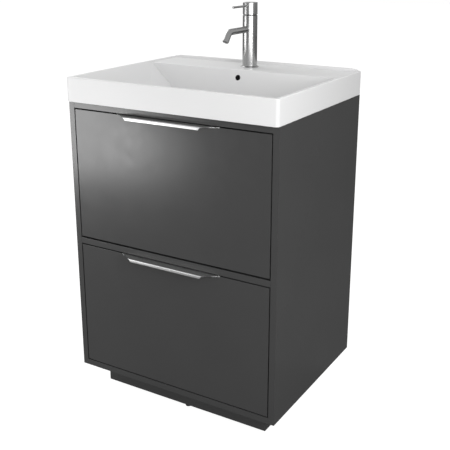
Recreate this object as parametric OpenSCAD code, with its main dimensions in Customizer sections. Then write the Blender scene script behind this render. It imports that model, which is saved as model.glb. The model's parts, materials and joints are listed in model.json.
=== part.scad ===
// Floor-standing bathroom vanity: two drawers, inset basin with overflow, and a pin-lever mixer tap.
// Millimetres, +Z up, +X to the right, +Y to the wall. The origin is on the floor, at the middle
// of the overall width and depth. Modules work in the cabinet frame: X = 0 at the centre,
// Y = 0 at the front face and Z = 0 at the underside of the cabinet box.

/* [Cabinet] */
// Width over the side panels
cab_w = 600; // [560:10:640]
// Depth of the side panels
cab_d = 462; // [456:2:480]
// Height of the cabinet box, without plinth and basin
cab_h = 744; // [730:2:780]
// Thickness of the carcass boards and drawer fronts
board = 16; // [15:0.5:18]
// Height of the cabinet's underside above the floor
foot_h = 80; // [76:1:100]
// Gap at the sides and top of each drawer front
reveal = 3; // [2.5:0.1:3.5]
// Gap below the top drawer front
shadow_gap = 5; // [3:0.5:6]
// Width of the plinth
plinth_w = 500; // [460:10:540]
// Distance from the front face back to the plinth
plinth_set = 50; // [40:1:60]
// Height of the plinth boards
plinth_h = 61.5; // [55:0.5:66]

/* [Drawers] */
// Thickness of the drawer sides, back and guard boards
side_t = 12; // [10:0.5:14]
// Depth of the drawer box behind its front
box_d = 420; // [405:5:422]
// Height of the top drawer's sides
top_side_h = 170; // [140:5:190]
// Height of the lower drawer's sides
lower_side_h = 200; // [150:5:240]
// Travel of a fully opened drawer, and length of its runners
travel = 400; // [300:10:400]

/* [Handles] */
// Length of the edge pull where it crosses the front face
pull_w = 294; // [260:2:340]
// Length of its turned-down lip
lip_w = 220; // [180:2:230]
// How far it stands out from the front face
pull_out = 25; // [22:0.5:30]
// Height of the lip
lip_h = 7.4; // [6:0.2:12]
// Sheet thickness
sheet = 1.6; // [1.2:0.1:2]

/* [Basin] */
// Height of the basin's skirt
basin_h = 62.5; // [58:0.5:70]
// How far the basin overhangs the front face
basin_front = 8.4; // [6:0.2:12]
// How far the basin stands behind the cabinet
basin_rear = 8; // [4:0.5:12]
// Depth of the bowl below the rim
bowl_deep = 116; // [100:1:120]
// Width of the rim and thickness of the skirt
rim_w = 12; // [11:0.5:14]
// Distance from the front face to the rear edge of the bowl
bowl_back = 340; // [330:1:345]
// Height of the ridge along the rear edge
ridge_h = 5; // [3:0.5:8]

/* [Tap] */
// Outer diameter of the tap's body
tap_dia = 40; // [38:1:44]
// Height of the tap above the deck
tap_h = 173; // [165:1:190]
// Height of the turning cap
cap_h = 32; // [30:1:36]
// Outer diameter of the spout pipe
spout_dia = 17; // [15:0.5:18]
// Straight length of the spout in front of the tap's axis
spout_run = 101; // [90:1:115]
// Length of the pin lever in front of the tap's axis
lever_run = 94; // [80:1:110]

/* [Hidden] */
$fn = 64;
fit = 0.05;          // radial play of a screw or pin in its hole
e = 0.5;             // how far a cutting shape runs past the face it cuts
sliver = 0.01;       // height of the outlines that a hull joins

// overall frame
depth_all = pull_out + cab_d + basin_rear;
y_front = pull_out - depth_all / 2;

// carcass
in_w = cab_w - 2 * board;
front_w = in_w - 2 * reveal;
front_h = (cab_h - 3 * board - 3 * reveal - shadow_gap) / 2;
lower_z = board + reveal;
mid_z = lower_z + front_h + reveal;
top_z = mid_z + board + shadow_gap;
rail_d = 40;
middle_rail_d = 60;
rear_rail_h = 100;
back_t = 8;
back_top = cab_h - rear_rail_h;
wall_hole_r = 3.5;
wall_hole_x = 200;
wall_hole_z = cab_h - 40;
port_w = 300;
port_z = 500;
port_h = 125;

// feet
foot_r = 7.5;
stem_r = 4;
stem_in = 6;         // how far a foot's stem goes into the bottom panel
socket_r = 9;
socket_h = 30;
foot_x = 215;
foot_y_front = 98;
foot_y_rear = 400;
foot_y_centre = 75.5;
foot_places = [[0, foot_y_centre], [-foot_x, foot_y_front], [foot_x, foot_y_front],
    [-foot_x, foot_y_rear], [foot_x, foot_y_rear]];

// drawer boxes and runners
runner_gap = 13;
runner_y = board + 6;
runner_t = 1.2;
rail_high = 45;
rail_deep = 9.6;
middle_high = 36;
middle_out = 2.5;    // gap between the side panel and the middle member
middle_deep = 8.5;
inner_high = 26;
inner_deep = 7.5;
runner_lift = 60;    // height of a runner above the lower edge of its drawer's front
box_w = in_w - 2 * runner_gap;
box_in_w = box_w - 2 * side_t;
back_y = board + box_d - side_t;
box_lift = 12;
bottom_t = 6;
groove = 6;
groove_z = 10;
bottom_w = box_in_w + 2 * groove;
top_runner_z = top_z + runner_lift;
lower_runner_z = lower_z + runner_lift;
guard_in = 60;
guard_y = 128;
runner_screw_y = [60, 350];
runner_screw_r = 1.8;
runner_screw_in = 11;
runner_head_r = 3.6;
runner_head_h = 0.8;

// handle screws
pull_leg = 22;
ear_w = 12.7;
ear_inset = 2.5;
ear_fold = 18;
pull_screw_x = [-100, 0, 100];
pull_screw_r = 1.75;
pull_screw_z = 12;
pull_screw_in = 10;
pull_head_r = 3.5;
pull_head_h = 2;
lip_slant = 6;

// basin
bowl_front = rim_w - basin_front;
bowl_half = cab_w / 2 - rim_w;
rim_z = cab_h + basin_h;
deck_z = rim_z - 3;
deck_t = 12;
ridge_d = 11;
corner_r = 9;
mouth_r = 6;
floor_r = 48;
side_slant = 1.3;    // level thickness of the bowl's sloping sides, per unit of wall
front_slant = 1.2;
floor_half = bowl_half - bowl_deep * 1.19;
floor_front = bowl_front + bowl_deep * 0.9;
floor_back = bowl_back - bowl_deep * 0.21;
floor_z = rim_z - bowl_deep;
floor_t = 12;
drain_y = 205;
drain_r = 22.5;
flange_r = 32;
tap_y = 401;
tap_hole_r = 17.5;
overflow_r = 7.5;
overflow_z = rim_z - 32;
duct_w = 20;
duct_deep = 10;
duct_wall = 6;
duct_y = bowl_back + 6;
rear_y = cab_d + basin_rear;
duct_boss_z = floor_z - floor_t - 14;
duct_floor = 4;
duct_out_w = duct_w + 2 * duct_wall;
duct_out_y = duct_y + duct_deep + duct_wall;

// waste and trap
waste_r = 22;
waste_bore = 17.5;
flange_t = 3;
seal_t = 3;
waste_low = floor_z - 78;
bottle_r = 30;
bottle_low = 480;
bottle_top = 590;
outlet_z = 562;
outlet_r = 16;
outlet_y = drain_y + bottle_r + 12;
dip_z = bottle_low + 20;
plug_r = 30;
plug_stem_r = 5;
plug_stem = 34;
waste_slot_w = 10;
waste_slot_h = 8;
nut_r = waste_r + 8;
nut_h = 12;
trap_nut_r = waste_r + 6;
trap_wall = 3;
dip_r = 16;
dip_bore = 14;
pipe_wall = 1.5;

// tap
tap_r = tap_dia / 2;
ring_h = 3;
ring_bore = 14;
groove_gap = 1;
tap_top = deck_z + tap_h;
cap_z = tap_top - cap_h;
body_z = deck_z + ring_h;
body_top = cap_z - groove_gap;
cart_r = tap_r - 2.7;
cart_z = body_top - 28;
cap_hollow = 20;
cap_wall = 5;
chamber_r = 12;
chamber_low = 14;
lever_z = cap_z + 23;
lever_r = 3;
spout_z = deck_z + 102.5;
spout_r = spout_dia / 2;
spout_bore = spout_r - 1.6;
bend_r = 20;
bend_angle = 52;
spout_end = 20;
sleeve_lap = 0.6;
sleeve_grow = 0.15;
spout_root = 13.5;
lever_root = 12;
stud_r = 5;
stud_in = 12;
stud_low = deck_z - 70;
washer_t = 3;
fixing_nut_r = 9.8;
fixing_nut_h = 10;
aerator_h = 8;
aerator_hole_r = 1.1;
swivel_r = 10;
swivel_h = 7;

board_colour = [0.20, 0.20, 0.21];
inner_colour = [0.62, 0.61, 0.59];
ceramic_colour = [0.93, 0.93, 0.92];
chrome_colour = [0.72, 0.73, 0.75];
alu_colour = [0.80, 0.80, 0.81];
zinc_colour = [0.62, 0.63, 0.65];
black_colour = [0.06, 0.06, 0.06];
white_colour = [0.90, 0.90, 0.90];
rubber_colour = [0.10, 0.10, 0.11];

// ---- helpers -------------------------------------------------------------------------------

// moves a shape drawn in the cabinet frame to its place in the part's frame
module in_frame(colour) {
    color(colour) translate([0, y_front, foot_h]) children();
}

// a box given by its lowest and highest corners
module span(low, high) {
    translate(low) cube(high - low);
}

// a box that is centred on X
module centred(width, low_y, high_y, low_z, high_z) {
    span([-width / 2, low_y, low_z], [width / 2, high_y, high_z]);
}

// an upright prism on a rectangle with round corners
module round_box(low, high, r, height) {
    translate([0, 0, low[2]]) linear_extrude(height) {
        translate([low[0] + r, low[1]]) square([high[0] - low[0] - 2 * r, high[1] - low[1]]);
        translate([low[0], low[1] + r]) square([high[0] - low[0], high[1] - low[1] - 2 * r]);
        for (x = [low[0] + r, high[0] - r], y = [low[1] + r, high[1] - r])
            translate([x, y]) circle(r);
    }
}

// a round bar along Y from y_low to y_high
module bar_y(x, z, r, y_low, y_high) {
    translate([x, y_high, z]) rotate([90, 0, 0]) cylinder(r = r, h = y_high - y_low);
}

// a round bar along X from x_low to x_high
module bar_x(y, z, r, x_low, x_high) {
    translate([x_low, y, z]) rotate([0, 90, 0]) cylinder(r = r, h = x_high - x_low);
}

// a washer-like ring on the Z axis
module ring(r_out, r_in, low_z, high_z) {
    translate([0, 0, low_z]) difference() {
        cylinder(r = r_out, h = high_z - low_z);
        translate([0, 0, -e]) cylinder(r = r_in, h = high_z - low_z + 2 * e);
    }
}

// ---- carcass -------------------------------------------------------------------------------

// a side panel; side is -1 for the left and 1 for the right
module side_panel(side) {
    inner_x = side * in_w / 2;
    outer_x = side * cab_w / 2;
    in_frame(board_colour) difference() {
        span([min(inner_x, outer_x), 0, 0], [max(inner_x, outer_x), cab_d, cab_h]);
        for (z = [top_runner_z, lower_runner_z], y = runner_screw_y)
            translate([side * (in_w / 2 - e), y, z]) rotate([0, side * 90, 0])
                cylinder(r = runner_screw_r + fit, h = runner_screw_in + 2 * e);
    }
}

module left_side_panel() side_panel(-1);
module right_side_panel() side_panel(1);

module bottom_panel() {
    in_frame(board_colour) difference() {
        centred(in_w, 0, cab_d, 0, board);
        for (p = foot_places)
            translate([p[0], p[1], -e]) cylinder(r = stem_r + fit, h = stem_in + e);
    }
}

module top_front_rail() {
    in_frame(board_colour) centred(in_w, 0, rail_d, cab_h - board, cab_h);
}

module middle_rail() {
    in_frame(board_colour) centred(in_w, 0, middle_rail_d, mid_z, mid_z + board);
}

// stands on edge behind the basin; its two holes take the wall screws
module top_rear_rail() {
    in_frame(board_colour) difference() {
        centred(in_w, cab_d - board, cab_d, back_top, cab_h);
        for (x = [-wall_hole_x, wall_hole_x])
            bar_y(x, wall_hole_z, wall_hole_r, cab_d - board - e, cab_d + e);
    }
}

module back_panel() {
    in_frame(board_colour) difference() {
        centred(in_w, cab_d - back_t, cab_d, board, back_top);
        centred(port_w, cab_d - back_t - e, cab_d + e, port_z, port_z + port_h);
    }
}

// ---- plinth and feet -----------------------------------------------------------------------

module plinth_front() {
    in_frame(board_colour) centred(plinth_w, plinth_set, plinth_set + board, -plinth_h, 0);
}

module plinth_return(side) {
    low_x = side < 0 ? -plinth_w / 2 : plinth_w / 2 - board;
    in_frame(board_colour)
        span([low_x, plinth_set + board, -plinth_h], [low_x + board, cab_d - board, 0]);
}

module plinth_left_return() plinth_return(-1);
module plinth_right_return() plinth_return(1);

// a levelling foot: a plastic glide on a threaded stem
module foot(place) {
    glide_h = foot_h - socket_h - stem_in;
    in_frame(black_colour) translate([place[0], place[1], -foot_h]) {
        rotate_extrude() polygon([[0, 0], [foot_r - 1, 0], [foot_r, 1], [foot_r, glide_h - 1],
            [foot_r - 1, glide_h], [0, glide_h]]);
        translate([0, 0, glide_h]) cylinder(r = stem_r, h = foot_h - glide_h + stem_in);
    }
}

module foot_centre() foot(foot_places[0]);
module foot_front_left() foot(foot_places[1]);
module foot_front_right() foot(foot_places[2]);
module foot_rear_left() foot(foot_places[3]);
module foot_rear_right() foot(foot_places[4]);

module foot_sockets() {
    in_frame(zinc_colour) for (p = foot_places)
        translate([p[0], p[1], 0]) ring(socket_r, stem_r + fit, -socket_h, 0);
}

// ---- drawer runners ------------------------------------------------------------------------

// a runner's U-shaped member along Y: its web stands at x_web and its open edges at x_edge
module channel(x_web, x_edge, z, high) {
    low_x = min(x_web, x_edge);
    high_x = max(x_web, x_edge);
    hollow_low_x = x_web < x_edge ? low_x + runner_t : low_x - e;
    hollow_high_x = x_web < x_edge ? high_x + e : high_x - runner_t;
    difference() {
        span([low_x, runner_y, z - high / 2], [high_x, runner_y + travel, z + high / 2]);
        span([hollow_low_x, runner_y - e, z - high / 2 + runner_t],
            [hollow_high_x, runner_y + travel + e, z + high / 2 - runner_t]);
    }
}

// the rail that is screwed to the side panel
module runner_rail(side, z) {
    in_frame(zinc_colour) difference() {
        channel(side * in_w / 2, side * (in_w / 2 - rail_deep), z, rail_high);
        for (y = runner_screw_y)
            bar_x(y, z, runner_screw_r + fit, side * in_w / 2 - 3, side * in_w / 2 + 3);
    }
}

module top_runner_left_rail() runner_rail(-1, top_runner_z);
module top_runner_right_rail() runner_rail(1, top_runner_z);
module lower_runner_left_rail() runner_rail(-1, lower_runner_z);
module lower_runner_right_rail() runner_rail(1, lower_runner_z);

// the member between the rail and the drawer's member, which travels half as far as the drawer
module runner_middles(z) {
    web_x = in_w / 2 - middle_out;
    in_frame(zinc_colour) for (side = [-1, 1])
        channel(side * web_x, side * (web_x - middle_deep), z, middle_high);
}

module top_runner_middles() runner_middles(top_runner_z);
module lower_runner_middles() runner_middles(lower_runner_z);

// the member on the drawer's side
module drawer_runners(z) {
    in_frame(zinc_colour) for (side = [-1, 1])
        channel(side * box_w / 2, side * (box_w / 2 + inner_deep), z, inner_high);
}

module top_drawer_runners() drawer_runners(top_runner_z);
module lower_drawer_runners() drawer_runners(lower_runner_z);

module runner_screws() {
    in_frame(zinc_colour)
        for (side = [-1, 1], z = [top_runner_z, lower_runner_z], y = runner_screw_y) {
            translate([side * (in_w / 2 - runner_t), y, z]) rotate([0, side * 90, 0]) {
                cylinder(r = runner_screw_r, h = runner_screw_in);
                translate([0, 0, -runner_head_h])
                    cylinder(r = runner_head_r, h = runner_head_h);
            }
        }
}

// ---- drawers -------------------------------------------------------------------------------

// a drawer front with pilot holes for its handle's screws
module drawer_front(z) {
    in_frame(board_colour) difference() {
        centred(front_w, 0, board, z, z + front_h);
        for (x = pull_screw_x)
            bar_y(x, z + front_h - pull_screw_z, pull_screw_r + fit,
                board - pull_screw_in - 1, board + e);
    }
}

// a drawer side with the groove that holds the bottom panel
module drawer_side(side, z, high) {
    outer_x = side * box_w / 2;
    inner_x = side * (box_w / 2 - side_t);
    groove_x = side * (box_w / 2 - side_t + groove);
    low_z = z + box_lift;
    in_frame(inner_colour) difference() {
        span([min(outer_x, inner_x), board, low_z], [max(outer_x, inner_x), board + box_d,
            low_z + high]);
        span([min(groove_x, inner_x - side * e), board - e, low_z + groove_z],
            [max(groove_x, inner_x - side * e), board + box_d - side_t, low_z + groove_z + bottom_t]);
    }
}

module top_drawer_front() drawer_front(top_z);
module lower_drawer_front() drawer_front(lower_z);
module top_drawer_left_side() drawer_side(-1, top_z, top_side_h);
module top_drawer_right_side() drawer_side(1, top_z, top_side_h);
module lower_drawer_left_side() drawer_side(-1, lower_z, lower_side_h);
module lower_drawer_right_side() drawer_side(1, lower_z, lower_side_h);

module lower_drawer_bottom() {
    low_z = lower_z + box_lift + groove_z;
    in_frame(inner_colour) centred(bottom_w, board, back_y, low_z, low_z + bottom_t);
}

module lower_drawer_back() {
    low_z = lower_z + box_lift;
    in_frame(inner_colour)
        centred(box_in_w, back_y, board + box_d, low_z, low_z + lower_side_h);
}

// the bottom is cut out from the rear so that it passes the trap
module top_drawer_bottom() {
    low_z = top_z + box_lift + groove_z;
    in_frame(inner_colour) difference() {
        centred(bottom_w, board, back_y, low_z, low_z + bottom_t);
        centred(2 * guard_in + 2 * side_t, guard_y, back_y + e, low_z - e, low_z + bottom_t + e);
    }
}

// two boards, one on each side of the trap's cut-out
module top_drawer_backs() {
    low_z = top_z + box_lift;
    in_frame(inner_colour) for (side = [-1, 1]) {
        inner_x = side * guard_in;
        outer_x = side * box_in_w / 2;
        span([min(inner_x, outer_x), back_y, low_z],
            [max(inner_x, outer_x), board + box_d, low_z + top_side_h]);
    }
}

// three boards that line the cut-out on its front and both sides
module top_drawer_trap_guard() {
    low_z = top_z + box_lift;
    in_frame(inner_colour) difference() {
        centred(2 * guard_in + 2 * side_t, guard_y, back_y, low_z, low_z + top_side_h);
        centred(2 * guard_in, guard_y + side_t, back_y + e, low_z - e, low_z + top_side_h + e);
    }
}

// an edge pull of bent sheet: it lies on the front's top edge, has a turned-down lip in front,
// folded corners beside the lip and a leg behind that takes the screws
module edge_pull(z_edge) {
    half = pull_w / 2;
    lip_half = lip_w / 2;
    fold_dx = half - lip_half;
    fold_angle = atan2(pull_out, fold_dx);
    fold_len = norm([fold_dx, pull_out]);
    in_frame(alu_colour) translate([0, 0, z_edge]) difference() {
        union() {
            linear_extrude(sheet) polygon([[-half, board + sheet], [half, board + sheet],
                [half, 0], [lip_half, -pull_out], [-lip_half, -pull_out], [-half, 0]]);
            translate([0, sheet - pull_out, 0]) rotate([90, 0, 0]) linear_extrude(sheet)
                polygon([[-lip_half, sheet], [lip_half, sheet],
                    [lip_half - lip_slant, sheet - lip_h], [lip_slant - lip_half, sheet - lip_h]]);
            centred(pull_w, board, board + sheet, -pull_leg, 0);
            for (side = [0, 1]) mirror([side, 0, 0])
                translate([lip_half, -pull_out, 0.2]) rotate([0, 0, fold_angle])
                    rotate([ear_fold, 0, 0]) linear_extrude(sheet - 0.4)
                        polygon([[ear_inset, 0.5], [fold_len - ear_inset, 0.5],
                            [fold_len * 0.52, -ear_w]]);
        }
        for (x = pull_screw_x)
            bar_y(x, -pull_screw_z, pull_screw_r + fit, board - e, board + sheet + e);
    }
}

module pull_screws(z_edge) {
    in_frame(zinc_colour) for (x = pull_screw_x) {
        bar_y(x, z_edge - pull_screw_z, pull_screw_r, board - pull_screw_in, board + sheet);
        bar_y(x, z_edge - pull_screw_z, pull_head_r, board + sheet, board + sheet + pull_head_h);
    }
}

module top_handle() edge_pull(top_z + front_h);
module lower_handle() edge_pull(lower_z + front_h);
module top_handle_screws() pull_screws(top_z + front_h);
module lower_handle_screws() pull_screws(lower_z + front_h);

// ---- basin ---------------------------------------------------------------------------------

// a tapering bowl between an upper and a lower rounded rectangle, grown outwards by wall
module bowl_form(wall, low_z, high_z) {
    wall_x = wall * side_slant;
    wall_front = wall * front_slant;
    hull() {
        round_box([-bowl_half - wall_x, bowl_front - wall_front, high_z],
            [bowl_half + wall_x, bowl_back + wall, high_z], mouth_r + wall, sliver, $fn = 32);
        round_box([-floor_half - wall, floor_front - wall, low_z],
            [floor_half + wall, floor_back + wall, low_z], floor_r + wall, sliver, $fn = 32);
    }
}

// the space under the deck and rim, without the bowl's shell and the overflow duct
module basin_underside() {
    difference() {
        centred(2 * bowl_half, bowl_front, rear_y - rim_w, cab_h - e, deck_z - deck_t);
        bowl_form(floor_t, floor_z - floor_t, rim_z);
        centred(duct_out_w, floor_back, duct_out_y, cab_h - 2 * e, deck_z);
    }
}

// the passage from the overflow hole down to the waste
module overflow_duct() {
    low_z = duct_boss_z + duct_floor;
    bar_y(0, overflow_z, overflow_r, floor_back, duct_y + 2 * e);
    centred(duct_w, duct_y, duct_y + duct_deep, low_z, overflow_z + overflow_r + duct_floor);
    centred(duct_w, drain_y, duct_y + 2 * e, low_z, low_z + waste_slot_h);
}

module basin() {
    in_frame(ceramic_colour) difference() {
        union() {
            round_box([-cab_w / 2, -basin_front, cab_h], [cab_w / 2, rear_y, cab_h],
                corner_r, basin_h);
            centred(cab_w - 2 * corner_r, rear_y - ridge_d, rear_y, rim_z - e, rim_z + ridge_h);
            intersection() {
                bowl_form(floor_t, floor_z - floor_t, rim_z);
                centred(2 * bowl_half + 2, bowl_front - 1, rear_y - rim_w, 0, rim_z - 1);
            }
            centred(duct_out_w, drain_y, duct_out_y, duct_boss_z, floor_z - 2);
            centred(duct_out_w, floor_back - 4, duct_out_y, duct_boss_z, cab_h + 2);
            translate([0, drain_y, duct_boss_z])
                cylinder(r = flange_r, h = floor_z - 2 - duct_boss_z);
        }
        basin_underside();
        bowl_form(0, floor_z, rim_z + e);
        // the tap deck lies a little below the rim
        centred(2 * bowl_half, bowl_back - 14, rear_y - ridge_d, deck_z, rim_z + 2 * e);
        overflow_duct();
        translate([0, tap_y, deck_z - deck_t - e]) cylinder(r = tap_hole_r, h = deck_t + 2 * e);
        translate([0, drain_y, duct_boss_z - e])
            cylinder(r = drain_r, h = floor_z - duct_boss_z + 2 * e);
        translate([0, drain_y, floor_z - flange_t]) cylinder(r = flange_r + 0.5, h = flange_t + e);
    }
}

// ---- waste and trap ------------------------------------------------------------------------

// moves a shape drawn around the Z axis to the drain
module at_drain(colour) {
    in_frame(colour) translate([0, drain_y, 0]) children();
}

module waste_flange() {
    at_drain(chrome_colour) ring(flange_r, waste_bore, floor_z - flange_t, floor_z + 0.5);
}

// the click plug: a low dome on a stem, shown closed
module waste_plug() {
    at_drain(chrome_colour) translate([0, 0, floor_z + 1]) {
        rotate_extrude() polygon([[0, 0], [plug_r, 0], [plug_r, 1], [plug_r - 4, 3],
            [plug_r * 0.5, 4.6], [0, 5]]);
        translate([0, 0, -plug_stem]) cylinder(r = plug_stem_r, h = plug_stem + e);
    }
}

// the threaded tube, with slots that let the overflow in
module waste_body() {
    at_drain(chrome_colour) difference() {
        ring(waste_r, waste_bore, waste_low, floor_z - flange_t);
        for (turn = [0, 90])
            rotate([0, 0, turn]) translate([-waste_slot_w / 2, -waste_r - e, duct_boss_z + duct_floor])
                cube([waste_slot_w, 2 * waste_r + 2 * e, waste_slot_h]);
    }
}

module waste_seal() {
    at_drain(rubber_colour) ring(nut_r, waste_r + fit, duct_boss_z - seal_t, duct_boss_z);
}

module waste_nut() {
    high_z = duct_boss_z - seal_t;
    at_drain(white_colour) ring(nut_r, waste_r + fit, high_z - nut_h, high_z);
}

module trap_nut() {
    at_drain(white_colour) ring(trap_nut_r, waste_r + fit, waste_low - 10, waste_low + 14);
}

// the bottle with its neck, dip tube and outlet socket
module trap_bottle() {
    at_drain(white_colour) difference() {
        union() {
            translate([0, 0, bottle_low]) cylinder(r = bottle_r, h = bottle_top - bottle_low);
            translate([0, 0, bottle_top - e]) cylinder(r = waste_r, h = waste_low - bottle_top + e);
            bar_y(0, outlet_z, outlet_r + 5, 0, outlet_y - drain_y);
        }
        difference() {
            translate([0, 0, bottle_low + trap_wall])
                cylinder(r = bottle_r - trap_wall, h = bottle_top - bottle_low - 2 * trap_wall);
            translate([0, 0, dip_z]) cylinder(r = dip_r, h = bottle_top - bottle_low);
        }
        bar_y(0, outlet_z, outlet_r - pipe_wall, dip_r + 1, outlet_y - drain_y + e);
        translate([0, 0, dip_z - e]) cylinder(r = dip_bore, h = waste_low - bottle_low);
    }
}

module trap_outlet_pipe() {
    in_frame(white_colour) difference() {
        bar_y(0, outlet_z, outlet_r, outlet_y, rear_y);
        bar_y(0, outlet_z, outlet_r - pipe_wall, outlet_y - e, rear_y + e);
    }
}

// ---- tap -----------------------------------------------------------------------------------

// moves a shape drawn around the Z axis to the tap
module at_tap(colour) {
    in_frame(colour) translate([0, tap_y, 0]) children();
}

module tap_base_ring() {
    at_tap(chrome_colour) translate([0, 0, deck_z]) rotate_extrude()
        polygon([[ring_bore, 0], [tap_r + 5, 0], [tap_r + 5, 1], [tap_r + 1, ring_h],
            [ring_bore, ring_h]]);
}

// the column: a bore for the cartridge above a water chamber, and a side hole for the spout
module tap_body() {
    high = body_top - body_z;
    at_tap(chrome_colour) difference() {
        translate([0, 0, body_z]) rotate_extrude()
            polygon([[0, 0], [tap_r, 0], [tap_r, high - 1.5], [tap_r - 1.5, high], [0, high]]);
        translate([0, 0, cart_z]) cylinder(r = cart_r + fit, h = body_top - cart_z + e);
        translate([0, 0, body_z + chamber_low])
            cylinder(r = chamber_r, h = cart_z - body_z - chamber_low + e);
        translate([0, 0, body_z - e]) cylinder(r = stud_r + fit, h = stud_in + e);
        bar_y(0, spout_z, spout_r + fit, -tap_r - e, -10);
    }
}

// draws children in the plane of the spout's bend: X runs up from the bend's centre, Y forward
module at_bend() {
    translate([0, -spout_run, spout_z - bend_r]) rotate([0, 0, 180]) rotate([0, -90, 0])
        children();
}

// a pipe's section, grown outwards by extra
module spout_section(extra) {
    difference() {
        circle(spout_r + extra);
        circle(spout_bore + extra);
    }
}

// a straight pipe, a bend and an outlet sleeve that is a hair wider than the pipe
module tap_spout() {
    at_tap(chrome_colour) {
        translate([0, -spout_root, spout_z]) rotate([90, 0, 0])
            linear_extrude(spout_run - spout_root) spout_section(0);
        at_bend() {
            rotate_extrude(angle = bend_angle) translate([bend_r, 0]) spout_section(0);
            rotate([0, 0, bend_angle]) translate([bend_r, -sleeve_lap, 0]) rotate([-90, 0, 0])
                linear_extrude(spout_end + sleeve_lap) spout_section(sleeve_grow);
        }
    }
}

module tap_aerator() {
    at_tap(zinc_colour) at_bend() rotate([0, 0, bend_angle])
        translate([bend_r, spout_end - aerator_h - 1, 0]) rotate([-90, 0, 0]) difference() {
            cylinder(r = spout_bore - fit, h = aerator_h);
            for (turn = [0:60:300])
                rotate([0, 0, turn]) translate([spout_bore * 0.6, 0, -e])
                    cylinder(r = aerator_hole_r, h = aerator_h + 2 * e);
            translate([0, 0, -e]) cylinder(r = aerator_hole_r, h = aerator_h + 2 * e);
        }
}

module tap_cartridge() {
    at_tap(white_colour) translate([0, 0, cart_z])
        cylinder(r = cart_r, h = body_top - cart_z - e);
}

// the part of the cartridge that turns with the cap
module tap_swivel() {
    at_tap(zinc_colour) translate([0, 0, body_top]) {
        cylinder(r = swivel_r, h = swivel_h);
        translate([0, 0, swivel_h - e]) cylinder(r = swivel_r * 0.4, h = swivel_h);
    }
}

// the cap turns for temperature and tips back for flow
module tap_cap() {
    at_tap(chrome_colour) translate([0, 0, cap_z]) difference() {
        rotate_extrude() polygon([[0, 0], [tap_r - 1.5, 0], [tap_r, 1.5], [tap_r, cap_h - 1],
            [tap_r - 1, cap_h], [0, cap_h]]);
        translate([0, 0, -e]) cylinder(r = tap_r - cap_wall, h = cap_hollow + e);
        bar_y(0, lever_z - cap_z, lever_r + fit, -tap_r - e, -lever_root);
    }
}

module tap_lever() {
    at_tap(chrome_colour) translate([0, -lever_root, lever_z]) rotate([90, 0, 0])
        rotate_extrude() polygon([[0, 0], [lever_r, 0], [lever_r, lever_run - lever_root - 1],
            [lever_r - 1, lever_run - lever_root], [0, lever_run - lever_root]]);
}

module tap_fixing_stud() {
    at_tap(zinc_colour) translate([0, 0, stud_low]) cylinder(r = stud_r, h = body_z + stud_in - stud_low);
}

// a horseshoe washer, open to the front
module tap_fixing_washer() {
    washer_r = tap_hole_r + 8;
    slot_r = stud_r + 0.5;
    at_tap(zinc_colour) translate([0, 0, deck_z - deck_t - washer_t]) difference() {
        cylinder(r = washer_r, h = washer_t);
        translate([0, 0, -e]) cylinder(r = slot_r, h = washer_t + 2 * e);
        translate([-slot_r, -washer_r - 1, -e])
            cube([2 * slot_r, washer_r + 1, washer_t + 2 * e]);
    }
}

module tap_fixing_nut() {
    low_z = deck_z - deck_t - washer_t - fixing_nut_h;
    at_tap(zinc_colour) translate([0, 0, low_z]) difference() {
        cylinder(r = fixing_nut_r, h = fixing_nut_h, $fn = 6);
        translate([0, 0, -e]) cylinder(r = stud_r + fit, h = fixing_nut_h + 2 * e);
    }
}

// ---- nodes ---------------------------------------------------------------------------------

left_side_panel();
right_side_panel();
bottom_panel();
top_front_rail();
top_rear_rail();
middle_rail();
back_panel();
plinth_front();
plinth_left_return();
plinth_right_return();
foot_front_left();
foot_front_right();
foot_rear_left();
foot_rear_right();
foot_centre();
foot_sockets();
top_runner_left_rail();
top_runner_right_rail();
lower_runner_left_rail();
lower_runner_right_rail();
runner_screws();
basin();
waste_flange();
waste_plug();
waste_body();
waste_seal();
waste_nut();
trap_nut();
trap_bottle();
trap_outlet_pipe();
tap_base_ring();
tap_body();
tap_spout();
tap_aerator();
tap_cartridge();
tap_swivel();
tap_cap();
tap_lever();
tap_fixing_stud();
tap_fixing_washer();
tap_fixing_nut();
top_runner_middles();
lower_runner_middles();
top_drawer_front();
top_drawer_left_side();
top_drawer_right_side();
top_drawer_bottom();
top_drawer_backs();
top_drawer_trap_guard();
top_handle();
top_handle_screws();
top_drawer_runners();
lower_drawer_front();
lower_drawer_left_side();
lower_drawer_right_side();
lower_drawer_bottom();
lower_drawer_back();
lower_handle();
lower_handle_screws();
lower_drawer_runners();
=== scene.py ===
"""Looks of the bathroom vanity cabinet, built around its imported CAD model. Metres, Z up."""

import json
import math

import bmesh
import bpy
from mathutils import Euler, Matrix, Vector


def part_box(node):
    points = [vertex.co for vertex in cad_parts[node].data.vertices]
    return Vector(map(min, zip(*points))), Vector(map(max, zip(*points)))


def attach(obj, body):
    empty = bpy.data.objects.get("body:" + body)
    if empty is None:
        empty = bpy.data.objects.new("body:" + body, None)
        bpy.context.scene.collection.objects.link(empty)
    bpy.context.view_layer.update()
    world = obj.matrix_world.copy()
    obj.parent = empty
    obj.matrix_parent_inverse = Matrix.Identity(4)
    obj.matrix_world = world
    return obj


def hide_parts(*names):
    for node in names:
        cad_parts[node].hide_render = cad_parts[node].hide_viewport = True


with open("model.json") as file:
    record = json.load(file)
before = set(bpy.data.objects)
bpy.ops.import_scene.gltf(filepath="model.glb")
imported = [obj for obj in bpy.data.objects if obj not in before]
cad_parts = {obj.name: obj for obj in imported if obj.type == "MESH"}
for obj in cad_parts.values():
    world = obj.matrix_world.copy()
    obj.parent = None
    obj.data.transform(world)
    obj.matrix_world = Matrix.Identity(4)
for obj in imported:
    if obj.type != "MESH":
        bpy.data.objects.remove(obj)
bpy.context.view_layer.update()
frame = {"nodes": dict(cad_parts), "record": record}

MM = 0.001

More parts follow.
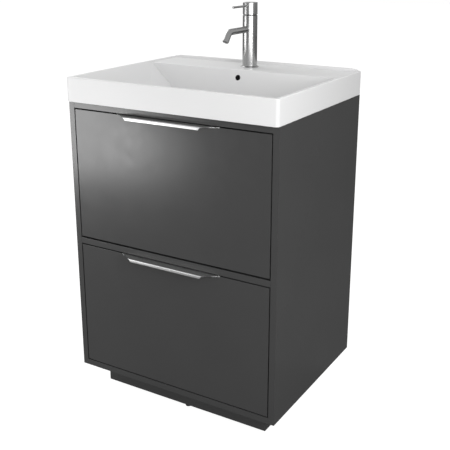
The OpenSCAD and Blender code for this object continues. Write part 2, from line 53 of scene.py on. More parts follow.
# ---- places taken from the CAD model --------------------------------------------------------

PANEL_LOW, PANEL_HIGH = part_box("right_side_panel")
BASIN_LOW, BASIN_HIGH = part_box("basin")
FLANGE_LOW, FLANGE_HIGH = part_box("waste_flange")
RING_LOW, RING_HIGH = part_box("tap_base_ring")
BODY_LOW, BODY_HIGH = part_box("tap_body")
CAP_LOW, CAP_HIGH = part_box("tap_cap")
LEVER_LOW, LEVER_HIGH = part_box("tap_lever")
SPOUT_LOW, SPOUT_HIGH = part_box("tap_spout")

HALF_W = BASIN_HIGH.x
BASIN_FRONT = BASIN_LOW.y
BASIN_REAR = BASIN_HIGH.y
DRAIN = (FLANGE_LOW + FLANGE_HIGH) / 2
TAP = (RING_LOW + RING_HIGH) / 2
TAP_R = (BODY_HIGH.x - BODY_LOW.x) / 2
# the bent tube is a little thinner than the CAD spout, so that it stays inside its box
SPOUT_R = (SPOUT_HIGH.x - SPOUT_LOW.x) / 2 - 0.15 * MM

# ---- sizes of the basin ---------------------------------------------------------------------

DECK_Z = RING_LOW.z
RIM_Z = DECK_Z + 3 * MM
RIDGE_Z = BASIN_HIGH.z
SKIRT_Z = PANEL_HIGH.z
PLATE_Z = DECK_Z - 12 * MM
FLOOR_Z = FLANGE_HIGH.z - 0.5 * MM
SHELL_Z = FLOOR_Z - 12 * MM
BOSS_Z = BASIN_LOW.z
RIM_W = 12 * MM
RIM_ROUND = 3 * MM
EDGE_ROUND = 2.2 * MM
CORNER_R = 9 * MM
MOUTH_X = HALF_W - RIM_W
MOUTH_FRONT = BASIN_FRONT + RIM_W
MOUTH_BACK = PANEL_LOW.y + 340 * MM
MOUTH_R = 6 * MM
FLOOR_X = 172 * MM
FLOOR_BACK_X = 148 * MM
FLOOR_FRONT = MOUTH_FRONT + 104 * MM
FLOOR_BACK = MOUTH_BACK - 24.4 * MM
FLOOR_TURN = FLOOR_BACK - 155 * MM
FLOOR_R = 45 * MM
FLOOR_FILLET = 34 * MM
RIDGE_D = 11 * MM
WALL = 12 * MM
TAP_HOLE_R = 17.5 * MM
OVERFLOW_R = 7.5 * MM
# the overflow hole's glazed mouth, past which its faces carry painted shade, and the hole's depth
DUCT_MOUTH = 1.2 * MM
DUCT_DEEP = 10.5 * MM
SKIRT_ROUND = 1.2 * MM
TAP_BLOCK = 24 * MM
TAP_BLOCK_ROWS = 8
TAP_FIRST_ROW = 2
OVERFLOW_BLOCK = 12 * MM
OVERFLOW_ROWS = 8
OVERFLOW_TOP_SHARE = 0.10
OVERFLOW_STEP = 0.035
RECESS_R = FLANGE_HIGH.x + 0.3 * MM
RECESS_ROUND = 0.5 * MM
RECESS_DROP = 0.4 * MM
# share of the floor, from the wall's foot to the waste, over which the fillet runs out
FILLET_END = 0.3
WASTE_HOLE_R = 22.5 * MM
BOSS_R = 34 * MM

# ---- sizes of the waste, tap and pulls ------------------------------------------------------

FLANGE_BORE = 17.5 * MM
FLANGE_FACE = 19.5 * MM
PLUG_DOME_H = 5 * MM
PLUG_STEM_R = 5 * MM
RING_BORE = 14 * MM
RING_SIDE_H = 1.3 * MM
CAP_BEVEL = 0.4 * MM
CAP_WALL = 5 * MM
CAP_HOLLOW = 20 * MM
GROOVE_HIGH = 1.4 * MM
GROOVE_DEEP = 1.8 * MM
SPOUT_BEND_R = 20 * MM
SPOUT_BEND_DEGREES = 52
SPOUT_TAIL = 20 * MM
SPOUT_WALL = 1.6 * MM
SPOUT_OPEN = 11 * MM
SHEET = 1.6 * MM
PULL_HALF = 147 * MM
LIP_HALF = 110 * MM
LIP_TIP_HALF = 104 * MM
LIP_DROP = 7.4 * MM
PULL_BEND = 2.4 * MM
# shares of the way from the fold to the front edge at which an ear begins and has its tip
EAR_START = 0.067
EAR_TIP = 0.52
EAR_REACH = 12 * MM
EAR_DROP = 4 * MM

# ---- studio ---------------------------------------------------------------------------------

FLOOR_REACH = 16.0
SURROUND = 0.63
FLOOR_GLOW = 0.95
# name, place, target, width and height, radiance
SOFT_BOXES = [
    ("left_box", (-1.76, -1.44, 0.42), (0, -0.2, 0.5), (1.28, 0.7), 6.7),
    ("low_left_box", (-1.32, -1.95, 0.18), (0, -0.2, 0.3), (0.35, 0.32), 3.3),
    ("front_box", (1.1, -1.9, 0.88), (0, 0, 0.75), (1.3, 0.6), 3.2),
    ("right_box", (1.25, -0.7, 1.08), (0.3, -0.2, 0.8), (0.7, 0.7), 6.8),
    ("rear_box", (-1.5, 0.6, 1.9), (0, 0, 0.8), (1.2, 1.2), 3.3)]

# the lens and its sensor are in millimetres, and the angles in degrees
LENS = 62.923
SENSOR = 36
LENS_SHIFT = -0.08
CAMERA_PLACE = (1.0544, -1.7119, 1.1932)
CAMERA_DOWN = 16.988
CAMERA_TURN = 30.944


# ---- mesh helpers ---------------------------------------------------------------------------

# points closer than this count as one
SAME_PLACE = 2e-6

def lerp(a, b, t):
    """The point a fraction t of the way from a to b."""
    return a + (b - a) * t


def turned(radius, degrees):
    """A flat vector of that length at that angle from +X."""
    return Vector((radius * math.cos(math.radians(degrees)),
                   radius * math.sin(math.radians(degrees)), 0))


def steps(first, last, count):
    """Evenly spaced numbers from first to last, both included."""
    return [lerp(first, last, i / count) for i in range(count + 1)]


def bezier(a, b, c, t):
    """A point on the quadratic curve that leaves a towards b and reaches c from b."""
    return lerp(lerp(a, b, t), lerp(b, c, t), t)


def rounded(outline, segments=5):
    """Rounds a flat polyline's inner corners. Each entry is (x, y, corner radius)."""
    path = [Vector(outline[0][:2])]
    for before, here, after in zip(outline, outline[1:], outline[2:]):
        corner = Vector(here[:2])
        into = (Vector(before[:2]) - corner).normalized()
        onward = (Vector(after[:2]) - corner).normalized()
        if here[2] == 0:
            path.append(corner)
            continue
        half = into.angle(onward) / 2
        reach = here[2] / math.tan(half)
        centre = corner + (into + onward).normalized() * (here[2] / math.sin(half))
        start = corner + into * reach - centre
        end = corner + onward * reach - centre
        turn = start.angle_signed(end)
        for i in range(segments + 1):
            a = -turn * i / segments
            path.append(centre + Vector((start.x * math.cos(a) - start.y * math.sin(a),
                                         start.x * math.sin(a) + start.y * math.cos(a))))
    path.append(Vector(outline[-1][:2]))
    return path


class Skin:
    """A mesh made of patches. Points that coincide become one vertex."""

    def __init__(self):
        self.points = []
        self.index = {}
        self.faces = []

    def vertex(self, point):
        """The index of a point, to the nearest micrometre."""
        key = tuple(round(c, 6) for c in point)
        if key not in self.index:
            self.index[key] = len(self.points)
            self.points.append(tuple(point))
        return self.index[key]

    def face(self, *corners):
        """Adds a face, unless its corners have met in a line or a point."""
        ring = []
        for corner in corners:
            v = self.vertex(corner)
            if v not in ring:
                ring.append(v)
        if len(ring) > 2:
            self.faces.append(ring)

    def grid(self, rows, skip=None, closed=False):
        """Quads between neighbouring rows of points. skip(i, j) leaves a cell out."""
        for j in range(len(rows) - 1):
            count = len(rows[j])
            for i in range(count if closed else count - 1):
                if skip and skip(i, j):
                    continue
                k = (i + 1) % count
                self.face(rows[j][i], rows[j][k], rows[j + 1][k], rows[j + 1][i])

    def fill(self, loops):
        """A flat patch between an outer loop and the holes in it."""
        bm = bmesh.new()
        for loop in loops:
            clean = []
            for p in loop:
                if not clean or (p - clean[-1]).length > SAME_PLACE:
                    clean.append(p)
            if (clean[0] - clean[-1]).length < SAME_PLACE:
                clean.pop()
            ring = [bm.verts.new(p) for p in clean]
            for a, b in zip(ring, ring[1:] + ring[:1]):
                bm.edges.new((a, b))
        bmesh.ops.triangle_fill(bm, use_beauty=True, edges=bm.edges[:])
        for face in bm.faces:
            self.face(*[v.co.copy() for v in face.verts])
        bm.free()

    def build(self, name):
        """Makes the object, with its normals facing outwards."""
        mesh = bpy.data.meshes.new(name)
        mesh.from_pydata(self.points, [], self.faces)
        bm = bmesh.new()
        bm.from_mesh(mesh)
        loose = [v for v in bm.verts if not v.link_faces]
        bmesh.ops.delete(bm, geom=loose, context="VERTS")
        bmesh.ops.recalc_face_normals(bm, faces=bm.faces[:])
        bm.to_mesh(mesh)
        bm.free()
        return add_object(name, mesh)


def add_object(name, mesh):
    """Links a smooth-shaded mesh whose flat faces keep their own shading."""
    piece = bpy.data.objects.new(name, mesh)
    bpy.context.scene.collection.objects.link(piece)
    for polygon in mesh.polygons:
        polygon.use_smooth = True
    even = piece.modifiers.new("even_shading", "WEIGHTED_NORMAL")
    even.keep_sharp = True
    return piece


def dress(piece, finish, body, slot, *nodes):
    """Gives a piece its material, its body and the CAD nodes that it stands for."""
    piece.data.materials.clear()
    piece.data.materials.append(finish)
    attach(piece, body)
    if nodes:
        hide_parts(*nodes)
    return piece


def second_finish(piece, finish, chosen):
    """Gives the faces of a dressed piece whose middles are chosen another finish."""
    piece.data.materials.append(finish)
    for polygon in piece.data.polygons:
        if chosen(polygon.center):
            polygon.material_index = 1


def circle(middle, side, up, radius, segments):
    """Points round a circle in the plane of side and up."""
    angles = [2 * math.pi * i / segments for i in range(segments)]
    return [middle + side * (radius * math.cos(a)) + up * (radius * math.sin(a)) for a in angles]


def lathe(name, outline, centre, segments=96):
    """Turns an outline of (radius, height) points around the upright line through centre."""
    skin = Skin()
    rows = []
    for radius, height in outline:
        rows.append([Vector((centre.x, centre.y, height)) + turned(radius, 360 * i / segments)
                     for i in range(segments)])
    skin.grid(rows, closed=True)
    return skin.build(name)


def soften(node, edge=0.7 * MM, segments=3, least=32):
    """A copy of a CAD node's mesh with its sharp edges rounded."""
    bm = bmesh.new()
    bm.from_mesh(frame["nodes"][node].data)
    bmesh.ops.remove_doubles(bm, verts=bm.verts[:], dist=0.005 * MM)
    bmesh.ops.dissolve_limit(bm, angle_limit=math.radians(0.5), verts=bm.verts[:],
                             edges=bm.edges[:])
    sharp = [e for e in bm.edges
             if len(e.link_faces) == 2 and e.calc_face_angle(0) > math.radians(least)]
    bmesh.ops.bevel(bm, geom=sharp, offset=edge, offset_type="OFFSET", segments=segments,
                    profile=0.5, affect="EDGES", clamp_overlap=True)
    mesh = bpy.data.meshes.new(node + "_soft")
    bm.to_mesh(mesh)
    bm.free()
    return add_object(node + "_soft", mesh)


# ---- materials ------------------------------------------------------------------------------

# nearly all of a noise texture lies between these two
NOISE_LOW = 0.3
NOISE_HIGH = 0.7


class Finish:
    """A principled material whose fine variation comes from noise in the object's own space."""

    def __init__(self, name, colour, rough, metal=0.0):
        self.material = bpy.data.materials.new(name)
        self.material.use_nodes = True
        self.tree = self.material.node_tree
        self.shader = self.tree.nodes["Principled BSDF"]
        self.shader.inputs["Base Color"].default_value = (*colour, 1)
        self.shader.inputs["Roughness"].default_value = rough
        self.shader.inputs["Metallic"].default_value = metal

    def set(self, socket, value):
        """Sets one of the shader's own numbers or colours."""
        self.shader.inputs[socket].default_value = value
        return self

    def noise(self, scale, stretch=(1, 1, 1), detail=3.0):
        """Noise of about 1/scale metres, drawn out by stretch along each axis."""
        place = self.tree.nodes.new("ShaderNodeTexCoord")
        mapping = self.tree.nodes.new("ShaderNodeMapping")
        mapping.inputs["Scale"].default_value = [1 / s for s in stretch]
        texture = self.tree.nodes.new("ShaderNodeTexNoise")
        texture.inputs["Scale"].default_value = scale
        texture.inputs["Detail"].default_value = detail
        self.tree.links.new(place.outputs["Object"], mapping.inputs["Vector"])
        self.tree.links.new(mapping.outputs["Vector"], texture.inputs["Vector"])
        return texture.outputs["Fac"]

    def vary(self, socket, source, low, high):
        """Lets a number wander between low and high with the noise."""
        spread = self.tree.nodes.new("ShaderNodeMapRange")
        spread.inputs["From Min"].default_value = NOISE_LOW
        spread.inputs["From Max"].default_value = NOISE_HIGH
        spread.inputs["To Min"].default_value = low
        spread.inputs["To Max"].default_value = high
        self.tree.links.new(source, spread.inputs["Value"])
        self.tree.links.new(spread.outputs["Result"], self.shader.inputs[socket])
        return self

    def tint(self, source, first, second):
        """Lets the colour wander between two shades with the noise."""
        ramp = self.tree.nodes.new("ShaderNodeValToRGB")
        ramp.color_ramp.elements[0].position = NOISE_LOW
        ramp.color_ramp.elements[0].color = (*first, 1)
        ramp.color_ramp.elements[1].position = NOISE_HIGH
        ramp.color_ramp.elements[1].color = (*second, 1)
        self.tree.links.new(source, ramp.inputs["Fac"])
        self.tree.links.new(ramp.outputs["Color"], self.shader.inputs["Base Color"])
        return self

    def relief(self, source, strength, depth):
        """A bump of that depth in metres."""
        bump = self.tree.nodes.new("ShaderNodeBump")
        bump.inputs["Strength"].default_value = strength
        bump.inputs["Distance"].default_value = depth
        self.tree.links.new(source, bump.inputs["Height"])
        self.tree.links.new(bump.outputs["Normal"], self.shader.inputs["Normal"])
        return self


def grey(value, warm=0.0):
    """A neutral colour, or a slightly warm one."""
    return (value * (1 + warm), value, value * (1 - warm))


def satin_lacquer():
    """Sprayed anthracite lacquer: a fine orange peel and a slightly uneven sheen."""
    finish = Finish("satin_anthracite_lacquer", grey(0.05), 0.21)
    finish.tint(finish.noise(7, detail=2), grey(0.049), grey(0.0515))
    finish.vary("Roughness", finish.noise(38), 0.19, 0.23)
    finish.relief(finish.noise(1400, detail=1), 0.12, 0.02 * MM)
    return finish.material


def melamine():
    """Drawer board: a faint linen grain that runs from front to back."""
    finish = Finish("drawer_board_melamine", grey(0.34, 0.01), 0.5)
    finish.tint(finish.noise(420, (1, 14, 1)), grey(0.30, 0.01), grey(0.36, 0.015))
    finish.relief(finish.noise(900, (1, 10, 1), 2), 0.2, 0.03 * MM)
    return finish.material


def back_board():
    """Lacquered fibreboard back with a slight mottle."""
    finish = Finish("back_board_lacquer", grey(0.07), 0.6)
    finish.tint(finish.noise(160, detail=5), grey(0.06), grey(0.08))
    finish.relief(finish.noise(800, detail=2), 0.25, 0.03 * MM)
    return finish.material


def glazed_ceramic():
    """White glaze: glossy, with the barely uneven surface of fired ware."""
    finish = Finish("glazed_ceramic", grey(0.77), 0.3)
    finish.tint(finish.noise(6, detail=1), (0.765, 0.765, 0.768), (0.775, 0.775, 0.773))
    finish.vary("Roughness", finish.noise(30, detail=1), 0.29, 0.31)
    finish.relief(finish.noise(12, detail=0), 0.03, 0.08 * MM)
    finish.set("Specular IOR Level", 0.35)
    return finish.material


def chrome():
    """Chrome plate with a soft polishing haze."""
    finish = Finish("polished_chrome", grey(0.41), 0.24, 1)
    finish.vary("Roughness", finish.noise(160, (1, 1, 6)), 0.22, 0.26)
    finish.relief(finish.noise(60, detail=1), 0.02, 0.02 * MM)
    return finish.material


def brushed_aluminium():
    """Anodised aluminium brushed along the handle."""
    finish = Finish("brushed_aluminium", grey(0.78), 0.3, 1)
    streaks = finish.noise(2600, (260, 1, 1), 4)
    finish.tint(streaks, grey(0.70), grey(0.82))
    finish.vary("Roughness", finish.noise(1300, (200, 1, 1)), 0.26, 0.38)
    finish.relief(streaks, 0.2, 0.01 * MM)
    return finish.material


def zinc_plate():
    """Bright zinc with its cloudy passivation."""
    finish = Finish("zinc_plated_steel", grey(0.55), 0.35, 1)
    finish.tint(finish.noise(130, detail=4), grey(0.48), (0.60, 0.61, 0.62))
    finish.vary("Roughness", finish.noise(300), 0.3, 0.45)
    return finish.material


def stainless_mesh():
    """The aerator's steel insert, darkened by the water."""
    finish = Finish("aerator_steel", grey(0.3), 0.4, 1)
    finish.tint(finish.noise(900), grey(0.2), grey(0.4))
    finish.relief(finish.noise(1600, detail=1), 0.4, 0.05 * MM)
    return finish.material


def moulded(name, colour, rough):
    """Moulded plastic with a spark-eroded grain."""
    finish = Finish(name, colour, rough)
    finish.vary("Roughness", finish.noise(240), rough - 0.05, rough + 0.07)
    finish.relief(finish.noise(1500, detail=2), 0.3, 0.03 * MM)
    return finish.material


def rubber():
    """Seal rubber, dull and a little bloomed."""
    finish = Finish("seal_rubber", grey(0.02), 0.75)
    finish.tint(finish.noise(300, detail=4), grey(0.016), grey(0.035))
    return finish.material


def duct():
    """Painted shade: a near-black finish on the inside of the overflow hole, standing in for the
    shade deep in it, with a faint random mottle.
    """
    finish = Finish("overflow_duct", grey(0.02), 0.8)
    finish.tint(finish.noise(300, detail=3), grey(0.012), grey(0.028))
    finish.set("Specular IOR Level", 0.05)
    return finish.material


LACQUER = satin_lacquer()
MELAMINE = melamine()
BACK_BOARD = back_board()
CERAMIC = glazed_ceramic()
# the next finish is painted shade for the inside of the overflow hole
DUCT_PAINTED_SHADE = duct()
CHROME = chrome()
ALUMINIUM = brushed_aluminium()
ZINC = zinc_plate()
AERATOR = stainless_mesh()
# black plastic: the feet's own colour, and also the painted shade in the tap column's groove
BLACK_PLASTIC_AND_GROOVE_SHADE = moulded("black_foot_plastic_and_groove_shade", grey(0.012), 0.45)
WHITE_PLASTIC = moulded("white_pipe_plastic", grey(0.72), 0.35)
RUBBER = rubber()

# ---- basin ----------------------------------------------------------------------------------

# how far out from a rim's flat top, as a share of the corner radius, and how far down
ROLL = [(0, 0)] + [
    (1 - EDGE_ROUND * (1 - math.sin(a)) / CORNER_R, EDGE_ROUND * (1 - math.cos(a)))
    for a in (math.radians(d) for d in (0, 18, 36, 54, 72, 90))]
# the deck's columns from the middle out: place and share of the step up to the side rim
DECK_COLUMNS = [(x * MM, 0) for x in (0, 6, 12, 18, 24, 60, 105, 150, 195, 235, 270)] + [
    (MOUTH_X - 1.6 * MM, 0), (MOUTH_X - 0.9 * MM, 0.08), (MOUTH_X - 0.5 * MM, 0.3),
    (MOUTH_X - 0.3 * MM, 0.65), (MOUTH_X + 0.1 * MM, 0.92), (MOUTH_X + 0.8 * MM, 1),
    (MOUTH_X + RIM_ROUND, 1)]
# the step up to the rear ridge: millimetres behind its face and share of the rise
RIDGE_STEP = [(-16, 0), (-2, 0), (-1, 0.03), (-0.3, 0.12), (0, 0.3), (0, 0.7), (0.5, 0.93), (1.6, 1)]
# how far in from the side rim the ridge's end slopes down
RIDGE_END = 7 * MM
# places down the bowl's wall, with even steps round the overflow hole
WALL_SHARES = [0.0] + [OVERFLOW_TOP_SHARE + OVERFLOW_STEP * i for i in range(OVERFLOW_ROWS + 1)]
WALL_SHARES += [0.52, 0.68, 0.84, 1.0]
# the points of the rim's rounded edge
EDGE_SHARES = [0, 0.25, 0.5, 0.75]
OVERFLOW_FIRST_ROW = len(EDGE_SHARES) + 1


class Column:
    """One line down the bowl: from the flat rim over its rounded edge to the floor."""

    def __init__(self, start, top, foot, normal):
        self.start = start
        self.top = top
        self.foot = foot
        self.normal = normal

    def mirrored(self):
        def flip(p):
            return Vector((-p.x, p.y, p.z))
        return Column(flip(self.start), flip(self.top), flip(self.foot), flip(self.normal))

    def inside(self):
        """Points from the rim down the wall and over the floor to the waste's recess."""
        fall = (self.foot - self.top).normalized()
        begin = self.top + fall * RIM_ROUND
        recess = around_drain(self.foot, RECESS_R + RECESS_ROUND, FLOOR_Z)
        rest = self.foot - fall * FLOOR_FILLET
        out = lerp(self.foot, recess, FILLET_END)
        line = [bezier(self.start, self.top, begin, t) for t in EDGE_SHARES]
        line += [lerp(begin, rest, t) for t in WALL_SHARES]
        line += [bezier(rest, self.foot, out, t) for t in (0.15, 0.3, 0.45, 0.6, 0.75, 0.9, 1)]
        line += [lerp(out, recess, t) for t in (0.5, 1)]
        line.append(around_drain(self.foot, RECESS_R, FLOOR_Z - RECESS_DROP))
        line.append(around_drain(self.foot, RECESS_R, FLANGE_LOW.z))
        line.append(around_drain(self.foot, WASTE_HOLE_R, FLANGE_LOW.z))
        line.append(around_drain(self.foot, WASTE_HOLE_R, BOSS_Z))
        return line

    def outside(self):
        """Points down the hidden side of the shell, from the deck's plate to the waste."""
        share = (self.top.z - PLATE_Z) / (self.top.z - FLOOR_Z)
        high = lerp(self.top, self.foot, share) + self.normal * WALL
        low = self.foot + self.normal * WALL
        high = Vector((max(-MOUTH_X, min(MOUTH_X, high.x)), max(MOUTH_FRONT, high.y), PLATE_Z))
        low.z = SHELL_Z
        begin = lerp(low, high, 0.3)
        boss = around_drain(self.foot, BOSS_R, SHELL_Z)
        onward = lerp(low, boss, 0.4)
        line = [high, begin]
        line += [bezier(begin, low, onward, t) for t in (0.25, 0.5, 0.75, 1)]
        line += [boss, around_drain(self.foot, BOSS_R, BOSS_Z),
                 around_drain(self.foot, WASTE_HOLE_R, BOSS_Z)]
        return line


def around_drain(point, radius, height):
    """The point of a circle round the waste that lies towards another point."""
    away = Vector((point.x - DRAIN.x, point.y - DRAIN.y, 0)).normalized()
    return Vector((DRAIN.x, DRAIN.y, height)) + away * radius


def deck_height(share):
    """The flat height of a deck column: the deck itself, the side rim or the step between."""
    return lerp(DECK_Z, RIM_Z, share)


def rear_columns():
    """Down the rear wall, from the middle to the left corner."""
    columns = []
    edge = MOUTH_X + RIM_ROUND
    for x, share in DECK_COLUMNS:
        top_x = x * MOUTH_X / edge
        height = deck_height(share)
        columns.append(Column(Vector((-x, MOUTH_BACK + RIM_ROUND, height)),
                              Vector((-top_x, MOUTH_BACK, height)),
                              Vector((-top_x * FLOOR_BACK_X / MOUTH_X, FLOOR_BACK, FLOOR_Z)),
                              Vector((0, 1, 0))))
    return columns


def corner_columns():
    """Across the flat facet that fans out from the mouth's rear left corner."""
    start = Vector((-MOUTH_X - RIM_ROUND, MOUTH_BACK + RIM_ROUND, RIM_Z))
    top = Vector((-MOUTH_X, MOUTH_BACK, RIM_Z))
    crease_r = 3 * MM
    tilt = math.degrees(math.atan2(FLOOR_X - FLOOR_BACK_X, FLOOR_BACK - FLOOR_TURN))
    centre = Vector((crease_r - FLOOR_BACK_X, FLOOR_BACK - crease_r, FLOOR_Z))
    soft_r = 60 * MM
    feet = [(centre + turned(crease_r, a), a) for a in steps(90, 180 - tilt, 4)]
    turn_point = Vector((-FLOOR_X, FLOOR_TURN, FLOOR_Z))
    soft_reach = soft_r * math.tan(math.radians(tilt / 2))
    soft_centre = turn_point + Vector((soft_r, -soft_reach, 0))
    first = soft_centre + turned(soft_r, 180 - tilt)
    feet += [(lerp(feet[-1][0], first, t), 180 - tilt) for t in steps(0, 1, 6)[1:]]
    feet += [(soft_centre + turned(soft_r, a), a) for a in steps(180 - tilt, 180, 3)[1:]]
    return [Column(start, top, foot, turned(1, a)) for foot, a in feet]


def side_columns(foot_start):
    """Down the left wall, then round the front left corner to the middle of the front."""
    columns = []
    mouth_turn = MOUTH_FRONT + MOUTH_R
    foot_turn = FLOOR_FRONT + FLOOR_R
    for t in steps(0, 1, 10)[1:]:
        y = lerp(MOUTH_BACK, mouth_turn, t)
        columns.append(Column(Vector((-MOUTH_X - RIM_ROUND, y, RIM_Z)),
                              Vector((-MOUTH_X, y, RIM_Z)),
                              Vector((-FLOOR_X, lerp(foot_start, foot_turn, t), FLOOR_Z)),
                              Vector((-1, 0, 0))))
    mouth_centre = Vector((MOUTH_R - MOUTH_X, mouth_turn, RIM_Z))
    foot_centre = Vector((FLOOR_R - FLOOR_X, foot_turn, FLOOR_Z))
    for a in steps(180, 270, 8)[1:]:
        columns.append(Column(mouth_centre + turned(MOUTH_R + RIM_ROUND, a),
                              mouth_centre + turned(MOUTH_R, a),
                              foot_centre + turned(FLOOR_R, a), turned(1, a)))
    for t in steps(0, 1, 8)[1:]:
        x = lerp(mouth_centre.x, 0, t)
        columns.append(Column(Vector((x, MOUTH_FRONT - RIM_ROUND, RIM_Z)),
                              Vector((x, MOUTH_FRONT, RIM_Z)),
                              Vector((lerp(foot_centre.x, 0, t), FLOOR_FRONT, FLOOR_Z)),
                              Vector((0, -1, 0))))
    return columns


def rim_edge(column):
    """The point of the basin's outer outline that faces a column, on the sides and front."""
    start = column.start
    corner = Vector((CORNER_R - HALF_W, BASIN_FRONT + CORNER_R, 0))
    if abs(column.normal.x) > 0.999 or start.y > corner.y + MOUTH_R + RIM_ROUND:
        return Vector((math.copysign(HALF_W, start.x), start.y, start.z))
    if abs(column.normal.y) > 0.999:
        return Vector((start.x, BASIN_FRONT, start.z))
    corner.x = math.copysign(corner.x, start.x)
    return Vector((corner.x, corner.y, start.z)) + column.normal * CORNER_R


def rolled(inner, outer):
    """A rim's cross-section from its flat top over the rounded outer edge."""
    line = []
    for share, drop in ROLL:
        point = lerp(inner, outer, share)
        line.append(Vector((point.x, point.y, inner.z - drop)))
    return line


def deck_rows():
    """The deck between the bowl and the wall, with the side rims and the rear ridge."""
    flat_y = BASIN_REAR - CORNER_R
    ridge_y = BASIN_REAR - RIDGE_D
    lines = [(y, 0, 0, 0) for y in [MOUTH_BACK + RIM_ROUND, MOUTH_BACK + 20 * MM]]
    lines += [(y, 0, 0, 0) for y in steps(TAP.y - TAP_BLOCK, TAP.y + TAP_BLOCK, TAP_BLOCK_ROWS)]
    lines += [(ridge_y + behind * MM, rise, 0, 0) for behind, rise in RIDGE_STEP]
    lines += [(flat_y, 1, share, drop) for share, drop in ROLL]
    columns = [(x, share, 0, 0) for x, share in DECK_COLUMNS[:-1]]
    columns += [(MOUTH_X + RIM_ROUND, 1, share, drop) for share, drop in ROLL]
    rows = []
    for y, rise, back_share, back_drop in lines:
        half = []
        for x, rim, side_share, side_drop in columns:
            low = deck_height(rim)
            ends = max(0, min(1, (MOUTH_X + RIM_ROUND - x) / RIDGE_END))
            height = lerp(low, RIDGE_Z, rise * ends * ends * (3 - 2 * ends))
            out = Vector((side_share, back_share))
            reach = max(out.x, out.y)
            if out.length > 0:
                out = out.normalized() * reach * CORNER_R
            half.append(Vector((x + out.x, y + out.y, height - max(side_drop, back_drop))))
        rows.append([Vector((-p.x, p.y, p.z)) for p in reversed(half)] + half[1:])
    return rows


def ring_of_cells(rows, i_low, i_high, j_low, j_high):
    """The points round a block of cells, in order."""
    ring = [rows[j_low][i] for i in range(i_low, i_high)]
    ring += [rows[j][i_high] for j in range(j_low, j_high)]
    ring += [rows[j_high][i] for i in range(i_high, i_low, -1)]
    ring += [rows[j][i_low] for j in range(j_high, j_low, -1)]
    return ring


def bored(ring, centre, across, along, axis, stages):
    """Rings of points from a block's edge into a round hole. A stage is (radius, depth)."""
    rings = [ring]
    for radius, depth in stages:
        row = []
        for point in ring:
            away = point - centre
            flat = (across * away.dot(across) + along * away.dot(along)).normalized()
            row.append(centre + flat * radius + axis * depth)
        rings.append(row)
    return rings


def drawn_in(point, inset, height):
    """A point of the skirt's outline, set at a height and moved in from the edge."""
    x, y = point.x, point.y
    if abs(x) > HALF_W - CORNER_R:
        x -= math.copysign(inset, x)
    if y < BASIN_FRONT + CORNER_R:
        y += inset
    if y > BASIN_REAR - CORNER_R:
        y -= inset
    return Vector((x, y, height))


def basin():
    """The ceramic basin: a shallow-rimmed slab with a faceted bowl, a deck and a ridge."""
    rear = rear_columns()
    corner = corner_columns()
    half = rear + corner + side_columns(corner[-1].foot.y)
    loop = half + [c.mirrored() for c in half[-2:0:-1]]
    skin = Skin()

    # the bowl, left open where the overflow hole goes
    lines = [column.inside() for column in loop]
    rows = list(map(list, zip(*lines)))
    reach = [x for x, share in DECK_COLUMNS].index(OVERFLOW_BLOCK)
    first = OVERFLOW_FIRST_ROW
    last = first + OVERFLOW_ROWS

    def overflow_cell(i, j):
        return first <= j < last and (i < reach or i >= len(loop) - reach)

    skin.grid(rows, skip=overflow_cell, closed=True)
    turned_rows = [row[-reach:] + row[:reach + 1] for row in rows]
    ring = ring_of_cells(turned_rows, 0, 2 * reach, first, last)
    middle = turned_rows[(first + last) // 2][reach]
    down = (turned_rows[last][reach] - turned_rows[first][reach]).normalized()
    level = Vector((1, 0, 0))
    inward = down.cross(level)
    if inward.y < 0:
        inward = -inward
    stages = [(OVERFLOW_R + 1.2 * MM, 0), (OVERFLOW_R + 0.4 * MM, 0.3 * MM),
              (OVERFLOW_R, DUCT_MOUTH), (OVERFLOW_R, DUCT_DEEP), (0, DUCT_DEEP)]
    skin.grid(bored(ring, middle, level, down, inward, stages), closed=True)

    # the flat rim on the left, front and right
    start = len(rear) - 1
    rim = loop[start:len(loop) - start + 1]
    rolls = [rolled(c.start, rim_edge(c)) for c in rim]
    skin.grid(rolls)

    # the deck, left open for the tap hole
    deck = deck_rows()
    count = len(deck[0])
    centre_i = count // 2
    block_i = [x for x, share in DECK_COLUMNS].index(TAP_BLOCK)
    block_end = TAP_FIRST_ROW + TAP_BLOCK_ROWS

    def tap_cell(i, j):
        return abs(i + 0.5 - centre_i) < block_i and TAP_FIRST_ROW <= j < block_end

    skin.grid(deck, skip=tap_cell)
    ring = ring_of_cells(deck, centre_i - block_i, centre_i + block_i, TAP_FIRST_ROW, block_end)
    hole = Vector((TAP.x, TAP.y, DECK_Z))
    axes = (Vector((1, 0, 0)), Vector((0, 1, 0)), Vector((0, 0, -1)))
    tap_rings = bored(ring, hole, *axes, [(TAP_HOLE_R + 0.5 * MM, 0), (TAP_HOLE_R, 0.5 * MM),
                                          (TAP_HOLE_R, DECK_Z - PLATE_Z)])
    skin.grid(tap_rings, closed=True)

    # the skirt, down from the outline and up again inside it
    edge = [roll[-1] for roll in rolls]
    back = [row[-1] for row in deck[1:]] + list(reversed(deck[-1][:-1]))
    back += [row[0] for row in reversed(deck[1:-1])]
    outline = edge + back
    skirt = [outline]
    for inset, height in ((0, SKIRT_ROUND), (0.3 * SKIRT_ROUND, 0.3 * SKIRT_ROUND),
                          (SKIRT_ROUND, 0)):
        skirt.append([drawn_in(p, inset, SKIRT_Z + height) for p in outline])
    inner = [Vector((max(-MOUTH_X, min(MOUTH_X, p.x)),
                     max(MOUTH_FRONT, min(BASIN_REAR - RIM_W, p.y)), SKIRT_Z)) for p in outline]
    plate_edge = [Vector((p.x, p.y, PLATE_Z)) for p in inner]
    skin.grid(skirt + [inner, plate_edge], closed=True)

    # the hidden side of the bowl, and the plate under the deck
    hidden = list(map(list, zip(*[column.outside() for column in loop])))
    skin.grid(hidden, closed=True)
    skin.fill([plate_edge, hidden[0], tap_rings[-1]])
    return skin.build("basin_glazed"), middle, inward


glazed_basin, overflow_mouth, overflow_inward = basin()


